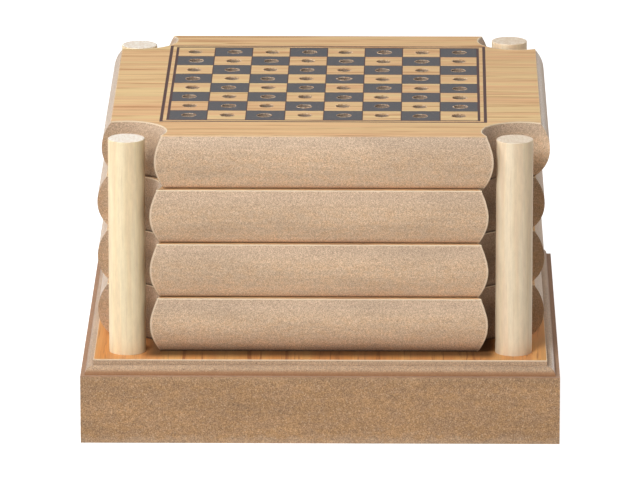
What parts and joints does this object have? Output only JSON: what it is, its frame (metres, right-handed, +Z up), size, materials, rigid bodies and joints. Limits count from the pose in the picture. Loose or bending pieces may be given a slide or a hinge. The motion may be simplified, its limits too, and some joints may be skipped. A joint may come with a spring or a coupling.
{
  "type": "stacking peg board games stand",
  "caption": "Square wooden base with corner posts that locate a stack of drilled game boards with notched corners, and a lidded peg compartment in its underside.",
  "frame": {"origin": "middle of the base's underside, on the surface that it stands on", "axes": "+X to the right and +Y to the rear as seen by a player in front of it, +Z up along the posts"},
  "size_m": [0.13, 0.13, 0.0846],
  "materials": {
    "base_mdf": "raw medium-density fibreboard, moulded with a router, fine speckle",
    "base_veneer": "orange-toned softwood veneer, grain running front to rear, satin",
    "board_mdf": "raw fibreboard with a sanded bullnose edge, fine speckle",
    "board_veneer": "pale striped veneer, grain running left to right, with a printed game, satin",
    "dowel": "birch dowel, straight grain along its length, bare and sanded",
    "lid_plywood": "thin birch plywood, bare and sanded",
    "peg_light": "bare birch peg",
    "peg_dark": "dark stained birch peg"
  },
  "bodies": {
    "base": {"base_block": "base_mdf", "base_veneer": "base_veneer", "post_front_left": "dowel", "post_front_right": "dowel", "post_rear_left": "dowel", "post_rear_right": "dowel", "pegs_light": "peg_light", "pegs_dark": "peg_dark"},
    "lid": {"compartment_lid": "lid_plywood"},
    "board_1": {"board_1_core": "board_mdf", "board_1_veneer": "board_veneer"},
    "board_2": {"board_2_core": "board_mdf", "board_2_veneer": "board_veneer"},
    "board_3": {"board_3_core": "board_mdf", "board_3_veneer": "board_veneer"},
    "board_4": {"board_4_core": "board_mdf", "board_4_veneer": "board_veneer"}
  },
  "joints": [
    {"name": "lid_slide", "type": "slide", "parent": "base", "child": "lid", "axis": [0, 1, 0], "range_m": [0, 0.115]},
    {"name": "board_1_lift", "type": "slide", "parent": "base", "child": "board_1", "axis": [0, 0, 1], "range_m": [0, 0.065]},
    {"name": "board_2_lift", "type": "slide", "parent": "board_1", "child": "board_2", "axis": [0, 0, 1], "range_m": [0, 0.05]},
    {"name": "board_3_lift", "type": "slide", "parent": "board_2", "child": "board_3", "axis": [0, 0, 1], "range_m": [0, 0.035]},
    {"name": "board_4_lift", "type": "slide", "parent": "board_3", "child": "board_4", "axis": [0, 0, 1], "range_m": [0, 0.02]}
  ]
}
